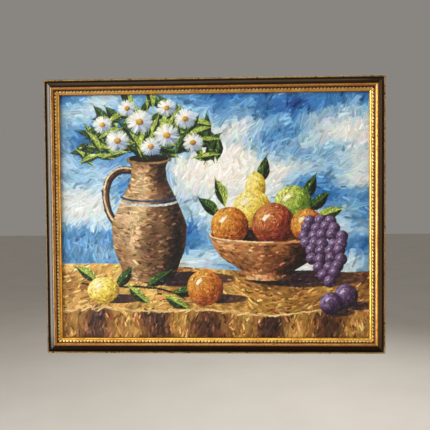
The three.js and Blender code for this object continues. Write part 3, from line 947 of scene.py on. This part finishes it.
class Picture:
    """Colour and thickness of paint on a grid over the canvas, worked on mark by mark."""

    def __init__(self):
        sides = (np.linspace(0, size, round(size / PAINT_GRID) + 1) for size in (PAINT_WIDTH, PAINT_HEIGHT))
        self.x, self.y = np.meshgrid(*sides)
        self.colour = np.ones((*self.x.shape, 3)) * GROUND_TINT
        self.height = np.zeros(self.x.shape)

    def look(self, x0, y0, x1, y1):
        """The part of the grid that lies in a box."""
        spans = zip((y0, x0), (y1, x1), self.height.shape)
        ends = [np.clip((int(a / PAINT_GRID), int(b / PAINT_GRID) + 2), 0, count) for a, b, count in spans]
        return tuple(slice(*end) for end in ends)

    def mark(self, place, size, turn, tint, load, rng, inside=None, bend=0.0):
        """One brush mark: bristle streaks that run dry towards its end."""
        length, width = size
        reach = (length + width) / 2
        spot = self.look(*box_round(place, reach, reach))
        x, y = self.x[spot], self.y[spot]
        along, across = turned(x, y, place, turn, size)
        across = across + bend * (along**2 - 0.3)
        bristle = np.interp(across, BRISTLES, rng.random(len(BRISTLES)))
        body = np.clip(SIDE_CRISP * (1 - np.abs(across)), 0, 1)
        ragged = END_RAGGED * (bristle - 0.6)
        ends = np.clip((1 - np.abs(along)) * END_CRISP * length / width + ragged, 0, 1)
        dry = np.clip(DRY[0] - (1 + along) * (DRY[1] - bristle), 0, 1)
        cover = body * ends * dry
        if inside is not None:
            cover = cover * np.clip(inside(x, y) / SOFT_EDGE + 0.7, 0, 1)
        streaks = np.asarray(tint) * (STREAKS[0] + STREAKS[1] * bristle[..., None])
        self.colour[spot] += (streaks - self.colour[spot]) * cover[..., None]
        edge = EDGE_RIDGE[0] + EDGE_RIDGE[1] * np.abs(across) ** 3
        ridge = load * (RIDGES[0] + RIDGES[1] * bristle) * edge
        self.height[spot] += (ridge - self.height[spot]) * cover

    def fill(self, box, shape, size, seed, cover=3.5, load=0.3, stray=0.05, loose=0.3):
        """A shape in marks, from its functions of x and y: how far inside, which tint and which grain."""
        inside, tint, _ = shape
        spot = self.look(*box)
        x, y = self.x[spot], self.y[spot]
        share = np.clip(inside(x, y) / SOFT_EDGE + 0.5, 0, 1)[..., None]
        self.colour[spot] += (tint(x, y) - self.colour[spot]) * share
        size = np.array(size)
        self.lay(box, shape, size, seed, cover, load, stray, loose)
        accents = size * ACCENT_SIZE
        self.lay(box, shape, accents, seed, ACCENT_COVER, ACCENT_LOAD * load, ACCENT_STRAY * stray, loose)

    def lay(self, box, shape, size, seed, cover, load, stray, loose):
        """Marks scattered over a shape, as many as cover it so many times over."""
        inside, tint, grain = shape
        rng = np.random.default_rng(seed)
        count = int(cover * (box[2] - box[0]) * (box[3] - box[1]) / (size[0] * size[1]))
        x, y = rng.uniform(box[0], box[2], count), rng.uniform(box[1], box[3], count)
        kept = inside(x, y) > 0
        x, y = x[kept], y[kept]
        tints = tint(x, y) + rng.normal(0, stray, (len(x), 1)) + rng.normal(0, stray / 3, (len(x), 3))
        turns = grain(x, y) + rng.normal(0, loose, len(x))
        sizes = size * rng.uniform(0.7, 1.3, (len(x), 2))
        bends = rng.normal(0, MARK_BEND, len(x))
        for i, place in enumerate(zip(x, y)):
            self.mark(place, sizes[i], turns[i], np.clip(tints[i], 0, 1), load, rng, inside, bends[i])

    def line(self, route, width, tint, seed, load=0.4, loose=0.08):
        """Marks laid end over end along a route of points."""
        rng = np.random.default_rng(seed)
        for place, way in zip(route, np.gradient(np.asarray(route), axis=0)):
            shade = np.clip(np.array(tint) / 255 + rng.normal(0, 0.05), 0, 1)
            turn = np.arctan2(way[1], way[0]) + rng.normal(0, loose)
            self.mark(place, (2.2 * np.hypot(*way) + width, width), turn, shade, load, rng)


def ball(picture, place, radius, tints, seed, tall=1.0, mark=(9, 3.4), shine=WARM_SHINE):
    """A round thing in light from the upper left, with some light back from the cloth."""
    def normal(x, y):
        nx, ny = (x - place[0]) / radius, (y - place[1]) / (radius * tall)
        return nx, ny, np.sqrt(np.clip(1 - nx**2 - ny**2, 0, 1))

    def inside(x, y):
        nx, ny, _ = normal(x, y)
        return (1 - np.hypot(nx, ny)) * radius

    def tint(x, y):
        nx, ny, nz = normal(x, y)
        lit = nx * SUN[0] + ny * SUN[1] + nz * SUN[2]
        back = 0.5 * np.clip(0.55 * nx - 0.8 * ny - 0.55, 0, 1)
        return tints_at(0.42 + 0.56 * lit + back, tints)

    def grain(x, y):
        return np.arctan2(y - place[1], x - place[0]) + np.pi / 2

    box = box_round(place, radius, radius * tall)
    picture.fill(box, (inside, tint, grain), mark, seed, load=0.35, loose=0.35)
    if shine:
        rng = np.random.default_rng(seed)
        for turn in (2.2, 2.5):
            spot = (place[0] + 0.48 * radius * np.cos(turn), place[1] + 0.5 * radius * tall * np.sin(turn))
            size = (0.34 * radius, 0.2 * radius)
            picture.mark(spot, size, turn - np.pi / 2, np.array(shine) / 255, 0.7, rng)


def vessel(picture, middle, outline, tints, seed, sag):
    """A thrown pot: half widths at heights, lit from the left, its top edge sagging towards the front."""
    heights, widths = outline

    def half(y):
        return sum(np.interp(y + step, heights, widths) for step in (-4, 0, 4)) / 3

    def across(x, y):
        return np.clip((x - middle) / half(y), -1, 1)

    def bow(x, wide):
        return np.sqrt(np.clip(1 - ((x - middle) / wide) ** 2, 0, 1))

    def inside(x, y):
        rim = heights[-1] - sag * bow(x, widths[-1])
        foot = heights[0] - 4 * bow(x, widths[0])
        return np.minimum(half(y) - np.abs(x - middle), np.minimum(rim - y, y - foot))

    def tint(x, y):
        nx = across(x, y)
        slope = np.clip((half(y - 3) - half(y + 3)) / 6, -1, 1)
        lit = nx * SUN[0] + 0.5 * slope * SUN[1] + np.sqrt(1 - nx**2) * SUN[2]
        back = 1.75 * np.clip(nx - 0.8, 0, 1)
        streaks = 0.16 * (wander(x, 0.35 * y, 40, seed) - 0.5)
        return tints_at(0.34 + 0.62 * lit + back + streaks, tints)

    def grain(x, y):
        return 0.5 * across(x, y)

    box = (middle - max(widths), heights[0] - 6, middle + max(widths), heights[-1])
    picture.fill(box, (inside, tint, grain), (17, 6), seed, load=0.35, loose=0.35)


def disc(picture, place, half, tints, seed):
    """A flat oval whose tints run from its left to its right."""
    def inside(x, y):
        return (1 - np.hypot((x - place[0]) / half[0], (y - place[1]) / half[1])) * half[1]

    def tint(x, y):
        return tints_at(0.5 + 0.5 * (x - place[0]) / half[0], tints)

    def grain(x, y):
        return 0 * x

    picture.fill(box_round(place, *half), (inside, tint, grain), (13, 4), seed, load=0.2)


def leaf(picture, place, size, turn, tints, seed):
    """A pointed leaf, light on one side of its rib and dark on the other."""
    def local(x, y):
        u, v = turned(x, y, place, turn, size)
        return u, v - 0.25 * (u**2 - 0.4)

    def inside(x, y):
        u, v = local(x, y)
        return (np.clip(1 - np.abs(u) ** 1.8, 0, 1) * (1 - 0.15 * u) - np.abs(v)) * size[1] / 2

    def tint(x, y):
        u, v = local(x, y)
        return tints_at(0.5 + 0.42 * np.sign(v) * np.sign(np.cos(turn)) - 0.12 * u, tints)

    def grain(x, y):
        return turn + 0.5 * np.sign(local(x, y)[1])

    reach = size[0] / 2
    box = box_round(place, reach, reach)
    picture.fill(box, (inside, tint, grain), (7, 2.2), seed, cover=3.0, stray=0.09, loose=0.2)
    way = np.array((np.cos(turn), np.sin(turn)))
    rib = np.array(place) + np.linspace(-0.85, 0.85, 6)[:, None] * reach * way
    picture.line(rib, 1.5, tints[-1], seed + 1)


def daisy(picture, place, radius, seed, petals=15, tilt=0.85):
    """A white flower: two laps of petals round an ochre heart, its right side in a blue shade."""
    rng = np.random.default_rng(seed)
    for lap in range(2):
        for k in range(petals):
            turn = (k + 0.5 * lap) * 2 * np.pi / petals + rng.normal(0, 0.06)
            way = np.array((np.cos(turn), tilt * np.sin(turn)))
            spot = np.array(place) + way * radius * (0.62 - 0.05 * lap)
            light = 0.5 + 0.4 * (0.7 * way[1] - 0.6 * way[0]) + rng.normal(0, 0.1) + 0.12 * lap
            size = (radius * 0.8, radius * 0.27)
            picture.mark(spot, size, np.arctan2(way[1], way[0]), tints_at(light, PETAL), 0.55, rng)
    ball(picture, place, radius * 0.27, HEART, seed + 1, tilt, (4, 2), None)


def lay_leaves(picture, leaves, size, first, seed):
    """Leaves in two greens by turns."""
    for k, (x, y, turn) in enumerate(leaves):
        leaf(picture, (x, y), size, turn, LEAVES[(k + first) % 2], seed + 3 * k)


def lay_fruit(picture, fruit, seed):
    for k, (x, y, radius, tall, tints, shine) in enumerate(fruit):
        ball(picture, (x, y), radius, tints, seed + k, tall, shine=shine)


def paint_air(picture):
    def everywhere(x, y):
        return 0 * x + SOFT_EDGE

    def tint(x, y):
        glow = np.exp(-(((x - GLOW[0]) / GLOW_REACH[0]) ** 2) - ((y - GLOW[1]) / GLOW_REACH[1]) ** 2)
        return tints_at(0.24 + 0.5 * glow + 0.75 * (wander(x, 1.5 * y, 230, 3) - 0.4), AIR)

    def grain(x, y):
        return 0.5 + 1.6 * (wander(x, y, 320, 8) - 0.5)

    box = (0, TABLE_BACK - 12, PAINT_WIDTH, PAINT_HEIGHT)
    picture.fill(box, (everywhere, tint, grain), (30, 9), 11, cover=4.0, load=0.4, stray=0.03, loose=0.5)


def paint_cloth(picture):
    def front(x):
        return TABLE_FRONT + 4 * np.sin(x / 70) + 3 * np.sin(x / 31)

    def inside(x, y):
        return TABLE_BACK + 5 * np.sin(x / 90 + 0.6) - 0.02 * x - y

    def tint(x, y):
        folds = np.sin(x / 26 + 0.03 * y + 2.2 * wander(x, y, 260, 5)) * np.clip((y - 40) / 50, 0.25, 1)
        hang = np.sin(x / 15 + 1.6 * wander(x, y, 120, 6))
        top = 0.66 + 0.16 * folds - 0.0006 * (x - 120)
        light = np.where(y < front(x), 0.36 + 0.24 * hang, top)
        return tints_at(light + 0.1 * (wander(x, y, 70, 7) - 0.5), OCHRE)

    def grain(x, y):
        return np.where(y < front(x), 1.45, 0.12 + 0.5 * np.sin(x / 60))

    box = (0, 0, PAINT_WIDTH, TABLE_BACK + 8)
    picture.fill(box, (inside, tint, grain), (19, 5.5), 21, cover=4.0, load=0.35, stray=0.06)
    x = np.linspace(0, PAINT_WIDTH, 60)
    picture.line(np.stack([x, front(x) + 1.5], axis=1), 2.6, HEM, 22, load=0.5, loose=0.25)


def paint_jug(picture):
    disc(picture, (206, 98), (76, 12), SHADOW, 31)
    handle = bezier(*JUG_HANDLE, 22)
    picture.line(handle + (1.5, -1.5), 12, STONEWARE[1], 32)
    picture.line(handle, 8, STONEWARE[2], 33)
    picture.line(handle + (-1.5, 2.0), 3, STONEWARE[4], 34, load=0.6)
    vessel(picture, JUG_MIDDLE, JUG_OUTLINE, STONEWARE, 35, sag=6)
    disc(picture, (JUG_MIDDLE, JUG_MOUTH), JUG_LIP, STONEWARE[:2], 39)
    rim = arc((JUG_MIDDLE, JUG_MOUTH - 0.5), *JUG_LIP, 0, 360, 29)
    picture.line(rim[:16], 4, STONEWARE[1], 36)
    picture.line(rim[14:], 3.4, STONEWARE[3], 37, load=0.6)
    rng = np.random.default_rng(38)
    for y in np.arange(150, 212, 7):
        spot = (JUG_MIDDLE - 30 + rng.normal(0, 2), y)
        picture.mark(spot, (11, 3.5), 1.5 + rng.normal(0, 0.2), tints_at(0.97, STONEWARE), 0.7, rng)
    share = np.linspace(-0.95, 0.95, 22)
    for height, half, tint in GLAZE_BANDS:
        ring = np.stack([JUG_MIDDLE + half * share, height - 8 * np.sqrt(1 - share**2)], axis=1)
        picture.line(ring, 3.6, tint, height)


def paint_bouquet(picture, leaves=120):
    rng = np.random.default_rng(41)
    for k in range(leaves):
        turn = rng.uniform(-0.15, np.pi + 0.15)
        reach = 108 * np.sqrt(rng.uniform(0.05, 1)) * (1 - 0.7 * k / leaves * rng.random())
        spot = (JUG_MIDDLE + 1.12 * reach * np.cos(turn), JUG_MOUTH + 12 + 0.88 * reach * np.sin(turn))
        tints = LEAVES[int(rng.random() > 0.9 - 0.7 * k / leaves)]
        size = rng.uniform(28, 44), rng.uniform(10, 15)
        leaf(picture, spot, size, turn + rng.normal(0, 0.7), tints, 500 + 3 * k)
    for k, (x, y, radius) in enumerate(FLOWERS):
        daisy(picture, (x, y), radius, 900 + 5 * k)


def paint_bowl(picture):
    middle = (BOWL_MIDDLE, BOWL_RIM)
    disc(picture, (400, 98), (92, 13), SHADOW, 51)
    disc(picture, middle, (91, 12), COPPER[:3], 50)
    picture.line(arc(middle, 92, 12, 0, 180, 23), 4, COPPER[2], 52)
    lay_leaves(picture, BOWL_LEAVES, (46, 19), 0, 540)
    lay_fruit(picture, BOWL_FRUIT, 61)
    vessel(picture, BOWL_MIDDLE, BOWL_OUTLINE, COPPER, 67, sag=12)
    rim = arc(middle, 93, -12, 0, 180, 23)
    picture.line(rim, 4, COPPER[3], 68, load=0.6)
    picture.line(rim[12:] + (0, 1.2), 2, COPPER[4], 69, load=0.8)
    rng = np.random.default_rng(70)
    for row, grapes in enumerate(GRAPE_ROWS):
        for k in range(grapes):
            x = GRAPE_TOP[0] + 2.2 * row + (k - (grapes - 1) / 2) * 15 + rng.normal(0, 1.5)
            y = GRAPE_TOP[1] - 12.5 * row + rng.normal(0, 1.5)
            ball(picture, (x, y), 9.6, PURPLE, 800 + 20 * row + 2 * k, mark=(5, 2.2), shine=COOL_SHINE)


def paint_table_fruit(picture):
    for x, y, half in SHADOWS:
        disc(picture, (x, y), (half, 7), SHADOW, x)
    picture.line(bezier(*TWIG_ROUTE, 18), 3, TWIG, 81)
    lay_leaves(picture, TABLE_LEAVES, (44, 17), 1, 560)
    lay_fruit(picture, TABLE_FRUIT, 82)


def to_linear(colour):
    """Linear colours, with their darks deepened and their whites held back as far as in the photograph."""
    light = np.clip(colour.mean(axis=-1, keepdims=True), 0.02, 1)
    wanted = np.minimum(BRIGHTEN * light**DEEPEN, WHITEST - WHITE_FALL * (1 - light))
    colour = np.clip(colour * wanted / light, 0, 1)
    return np.where(colour <= 0.04045, colour / 12.92, ((colour + 0.055) / 1.055) ** 2.4)


def paint_strip(picture, number, first, last):
    """One upright strip of the paint as a relief of its marks, with a skirt down to the cloth all round."""
    columns = slice(first, last + 1)
    x, y = picture.x[:, columns], picture.y[:, columns]
    edge = np.minimum(np.minimum(x, PAINT_WIDTH - x), np.minimum(y, PAINT_HEIGHT - y))
    relief = np.interp(edge, PAINT_EDGE_REACH, (PAINT_EDGE_RELIEF, 1))
    depth = PAINT_BASE + picture.height[:, columns] * relief
    x, y, depth = (np.pad(values, 1, mode="edge") for values in (x, y, depth))
    depth[[0, -1], :] = PAINT_SKIRT
    depth[:, [0, -1]] = PAINT_SKIRT
    corner = (MIDDLE_X - PAINT_WIDTH / 2, 0, MIDDLE_Z - PAINT_HEIGHT / 2)
    points = (np.stack([x, -depth, y], axis=-1) + corner) * MM
    faces = grid_faces(*x.shape)
    piece = make(f"paint_{number}", points, faces, OIL_PAINT, "painted_canvas", sharp=50, outward=False)
    tints = np.pad(to_linear(picture.colour[:, columns]), ((1, 1), (1, 1), (0, 0)), mode="edge")
    colour_points(piece.data, "paint", np.pad(tints, ((0, 0), (0, 0), (0, 1)), constant_values=1))
    order = np.empty(len(piece.data.loops), dtype=np.int32)
    piece.data.loops.foreach_get("vertex_index", order)
    flat = np.stack([x - x.min(), y], axis=-1).reshape(-1, 2) / PAINT_HEIGHT
    piece.data.uv_layers.new(name="OFBake").data.foreach_set("uv", flat[order].ravel())
    return piece


def build_picture():
    picture = Picture()
    for paint in (paint_air, paint_cloth, paint_jug, paint_bouquet, paint_bowl, paint_table_fruit):
        paint(picture)
    ends = np.linspace(0, picture.x.shape[1] - 1, PAINT_STRIPS + 1).astype(int)
    return [paint_strip(picture, i + 1, ends[i], ends[i + 1]) for i in range(PAINT_STRIPS)]


# Canvas, stretcher and fittings

def build_cloth(paint):
    """The canvas, folded round the stretcher on all sides, its upright margins laid over the level ones."""
    low, high = box_mm("canvas_face")
    half = (high - low)[[0, 2]] / 2
    margin = np.ptp(MARGIN)
    bend = FOLD_RADIUS * (1 - math.sqrt(0.5))
    inner = np.linspace(FOLD_RADIUS, margin, 7)
    # Rings round the canvas from its front fold to its raw edge: places in from its sides and depths
    rings = [(bend, CLOTH_FRONT - bend), (0, CLOTH_FRONT - FOLD_RADIUS), (0, CLOTH_BACK + FOLD_RADIUS)]
    rings += [(bend, CLOTH_BACK + bend)] + [(place, CLOTH_BACK) for place in inner]

    unit = np.stack(np.meshgrid(*(np.linspace(-1, 1, count + 1) for count in CLOTH_GRID)), axis=-1)
    index = np.arange(unit.size // 2).reshape(unit.shape[:2])
    loop = np.concatenate([index[-1, :-1], index[:0:-1, -1], index[0, :0:-1], index[:-1, 0]])
    unit = unit.reshape(-1, 2)
    points = [np.insert(unit * (half - FOLD_RADIUS), 1, -CLOTH_FRONT, axis=1)]
    faces = grid_faces(*index.shape)
    unit = unit[loop]
    upright = np.abs(unit[:, 0]) == 1
    stray = np.random.default_rng(5).normal(0, 1, len(loop))
    curl = sum(np.roll(stray, k - CURL_SPAN // 2) for k in range(CURL_SPAN)) / CURL_SPAN
    previous, count = loop, index.size
    for place, depth in rings:
        size = half - place
        corner_gap = size[1] * (1 - np.abs(unit[:, 1]))
        fold = upright * FOLD_LIFT * np.clip(1 - corner_gap / FOLD_REACH, 0, 1) * (depth == CLOTH_BACK)
        lift = fold + CLOTH_CURL * np.abs(curl) * max(place / margin - 0.5, 0)
        points.append(np.insert(unit * size, 1, lift - depth, axis=1))
        ring = np.arange(count, count + len(loop))
        faces += np.stack([previous, np.roll(previous, -1), np.roll(ring, -1), ring], axis=1).tolist()
        previous, count = ring, count + len(loop)
    points = np.concatenate(points) + (MIDDLE_X, 0, MIDDLE_Z)
    replaced = ["canvas_face"] + [f"canvas_turnover_{side}" for side in SIDES]
    cloth = make("canvas_cloth", points * MM, faces, RAW_CANVAS, "raw_canvas", replaced, sharp=60)
    solid = cloth.modifiers.new("thickness", "SOLIDIFY")
    solid.thickness = CLOTH_THICK * MM
    solid.offset = -1
    paint + [build_flaps()]


def build_flaps():
    """The doubled cloth at each corner: an upright margin's end, folded over the level one at a slant."""
    first, last = MARGIN[0] + FOLD_RADIUS, MARGIN[1]
    outline = [(first, 0), (last, 0), (last, FOLD_FLAP)]
    layers = (CLOTH_BACK - FOLD_LIFT - FLAP_PROUD, CLOTH_BACK + FLAP_SUNK)
    parts = []
    for side in ("top", "bottom"):
        edge = SIDES[side][0] / 2
        for end in (-1, 1):
            corners = [on_side(side, end * (edge - i - a), i, d) for d in layers for i, a in outline]
            parts.append(block(corners, FLAP_ROUND * MM))
    return make("canvas_corners", *joined(parts), RAW_CANVAS, "raw_canvas")


def build_stretcher():
    front, back = BAR_DEPTH[1] - BAR_CLEAR, BAR_DEPTH[0]
    outer, inner, cut = BAR[0], BAR[1], BAR_CHAMFER
    slope = front - BAR_BEVEL
    section = [(outer, front), (outer, back + cut), (outer + cut, back), (inner - cut, back)]
    section += [(inner, back + cut), (inner, slope - cut), (inner - cut, slope), (outer + BAR_FLAT, front)]
    bars = []
    for side in SIDES:
        bar = sweep(side, section, BAR_STATIONS)
        bars.append(refine(f"stretcher_{side}", *bar, PINE[GRAIN[side]], "pine"))
        across = "z" if GRAIN[side] == "x" else "x"
        for end in "ab":
            node = f"key_{side}_{end}"
            along, inward, depth = side_box(side, node)
            outline = [(along[0] + KEY_TAPER, inward[0]), (along[0], inward[1])]
            outline += [(along[1], inward[1]), (along[1] - KEY_TAPER, inward[0])]
            corners = [on_side(side, a, i, d) for d in depth for a, i in outline]
            refine(node, *block(corners, KEY_ROUND * MM), PINE[across], "pine")
    return bars


def build_points():
    """Flat steel points that hold the canvas in the rebate, their free ends bent clear of it."""
    share = np.linspace(0, 1, 12)
    for side in SIDES:
        way = SIDES[side][2]
        for end in "ab":
            node = f"point_{side}_{end}"
            along, inward, depth = side_box(side, node)
            reach = share * np.ptp(inward)
            route = on_side(side, along.mean(), inward[0] + reach, depth.mean() - POINT_BEND * share**6)
            half = np.minimum(np.ptp(along) / 2, POINT_TIP + reach)
            strip = band(route, half * MM, (way[0], 0, way[1]), POINT_THICK * MM, POINT_CHAMFER * MM)
            refine(node, *strip, ZINC, "steel")


def build_staples():
    rng = np.random.default_rng(17)
    parts = []
    bend = [(place - STAPLE_CROWN / 2, height) for place, height in STAPLE_LEG]
    bend += [(-place, height) for place, height in reversed(bend)]
    run, height = np.transpose(bend)
    for side in SIDES:
        reach = SIDES[side][0] / 2 - MARGIN[0] - STAPLE_PITCH
        for middle in np.linspace(-reach, reach, round(2 * reach / STAPLE_PITCH) + 1):
            turn = rng.normal(0, STAPLE_STRAY["turn"])
            inward = MARGIN[0] + STAPLE_INSET + rng.normal(0, STAPLE_STRAY["in"]) + run * math.sin(turn)
            along = middle + rng.normal(0, STAPLE_STRAY["along"]) + run * math.cos(turn)
            parts.append(tube(on_side(side, along, inward, CLOTH_BACK - height), STAPLE_WIRE * MM, 6))
    make("staples", *joined(parts), ZINC, "steel")


def ring_route(half, drop):
    """The middle line of a D-shaped ring that hangs from its straight side, as (across, up)."""
    corner, pull = RING_CORNER, 0.6 * RING_CORNER
    right = flow((half - corner, 0), (pull, 0), (0, pull), (half, -corner), 6)
    bow = arc((0, -corner), half, drop - corner, 0, -180, 40)[1:]
    left = right[::-1] * (-1, 1)
    straight = np.insert(np.linspace(corner - half, half - corner, 9)[:, None], 1, 0, axis=1)
    return np.concatenate([right, bow, left[1:], straight])


def strap_piece(name, axis):
    """A steel strap that lies on the stretcher and is rolled round the ring's straight side."""
    low, high = box_mm(name)
    half = (high[0] - low[0]) / 2
    foot = axis[2] - low[2]
    radius = ROLL_BORE + STRAP_THICK / 2
    turn = np.linspace(STRAP_TIP, math.pi / 2, STRAP_STEPS)
    rest = np.linspace(foot - half, 0, STRAP_STEPS)[1:]
    down = np.concatenate([foot - half * (1 - np.cos(turn)), rest])
    roll = arc((0, 0), radius, radius, 180, ROLL_END_DEG, ROLL_STEPS)[1:]
    section = np.concatenate([np.insert(-down[:, None], 0, -radius, axis=1), roll])
    widths = np.concatenate([half * np.sin(turn), np.full(len(rest) + len(roll), half)])
    route = np.insert(section, 0, 0, axis=1) + axis
    strip = band(route * MM, widths * MM, (1, 0, 0), STRAP_THICK * MM, STRAP_CHAMFER * MM)
    refine(name, *strip, ZINC, "steel")


def screw_piece(name):
    """A pan-head screw with a cross recess, its head towards the wall and its point towards the picture."""
    low, high = box_mm(name)
    middle, head = (low + high) / 2, (high[0] - low[0]) / 2
    tip, top = low[1], high[1]
    seat = top - SCREW_HEAD
    profile = [(SCREW_AXIS, tip), (SCREW_SHANK, tip + SCREW_POINT), (SCREW_SHANK, seat)]
    profile += [(head - inset, seat + rise) for inset, rise in SCREW_EDGE]
    profile += [(radius, top - 0.02 * radius) for radius in np.linspace(SCREW_CROWN, SCREW_AXIS, 14)]
    turn = np.linspace(0, 2 * np.pi, 64, endpoint=False)
    radius, height = np.transpose(profile)[:, :, None]
    x, z = radius * np.cos(turn), radius * np.sin(turn)
    arm, other = np.maximum(np.abs(x), np.abs(z)), np.minimum(np.abs(x), np.abs(z))
    cross = np.clip((CROSS_HALF - other) / 0.15, 0, 1) * np.clip((CROSS_REACH - arm) / 0.3, 0, 1)
    y = height - CROSS_DEEP * cross * (height > seat + CROSS_FROM)
    points = np.stack([x + middle[0], y, z + middle[2]], axis=-1).reshape(-1, 3) * MM
    refine(name, points, ring_faces(len(profile), len(turn)), ZINC, "steel", sharp=35)


def build_hangers():
    for side in ("left", "right"):
        node = f"hanger_ring_{side}"
        low, high = box_mm(node)
        half = (high - low) / 2 - WIRE_RADIUS
        axis = (low + high) / 2 + (0, 0, half[2])
        bend = ring_route(half[0], 2 * half[2])
        route = np.insert(bend, 1, 0, axis=1) + axis
        wire = tube(route * MM, WIRE_RADIUS * MM, 12, closed=True)
        refine(node, *wire, ZINC, "steel", body=f"ring_{side}")
        strap_piece(f"hanger_strap_{side}", axis)
        for place in ("upper", "lower"):
            screw_piece(f"hanger_screw_{side}_{place}")


stage()
build_frame()
bars = build_stretcher()
build_cloth(build_picture())
build_points()
build_staples()
build_hangers()
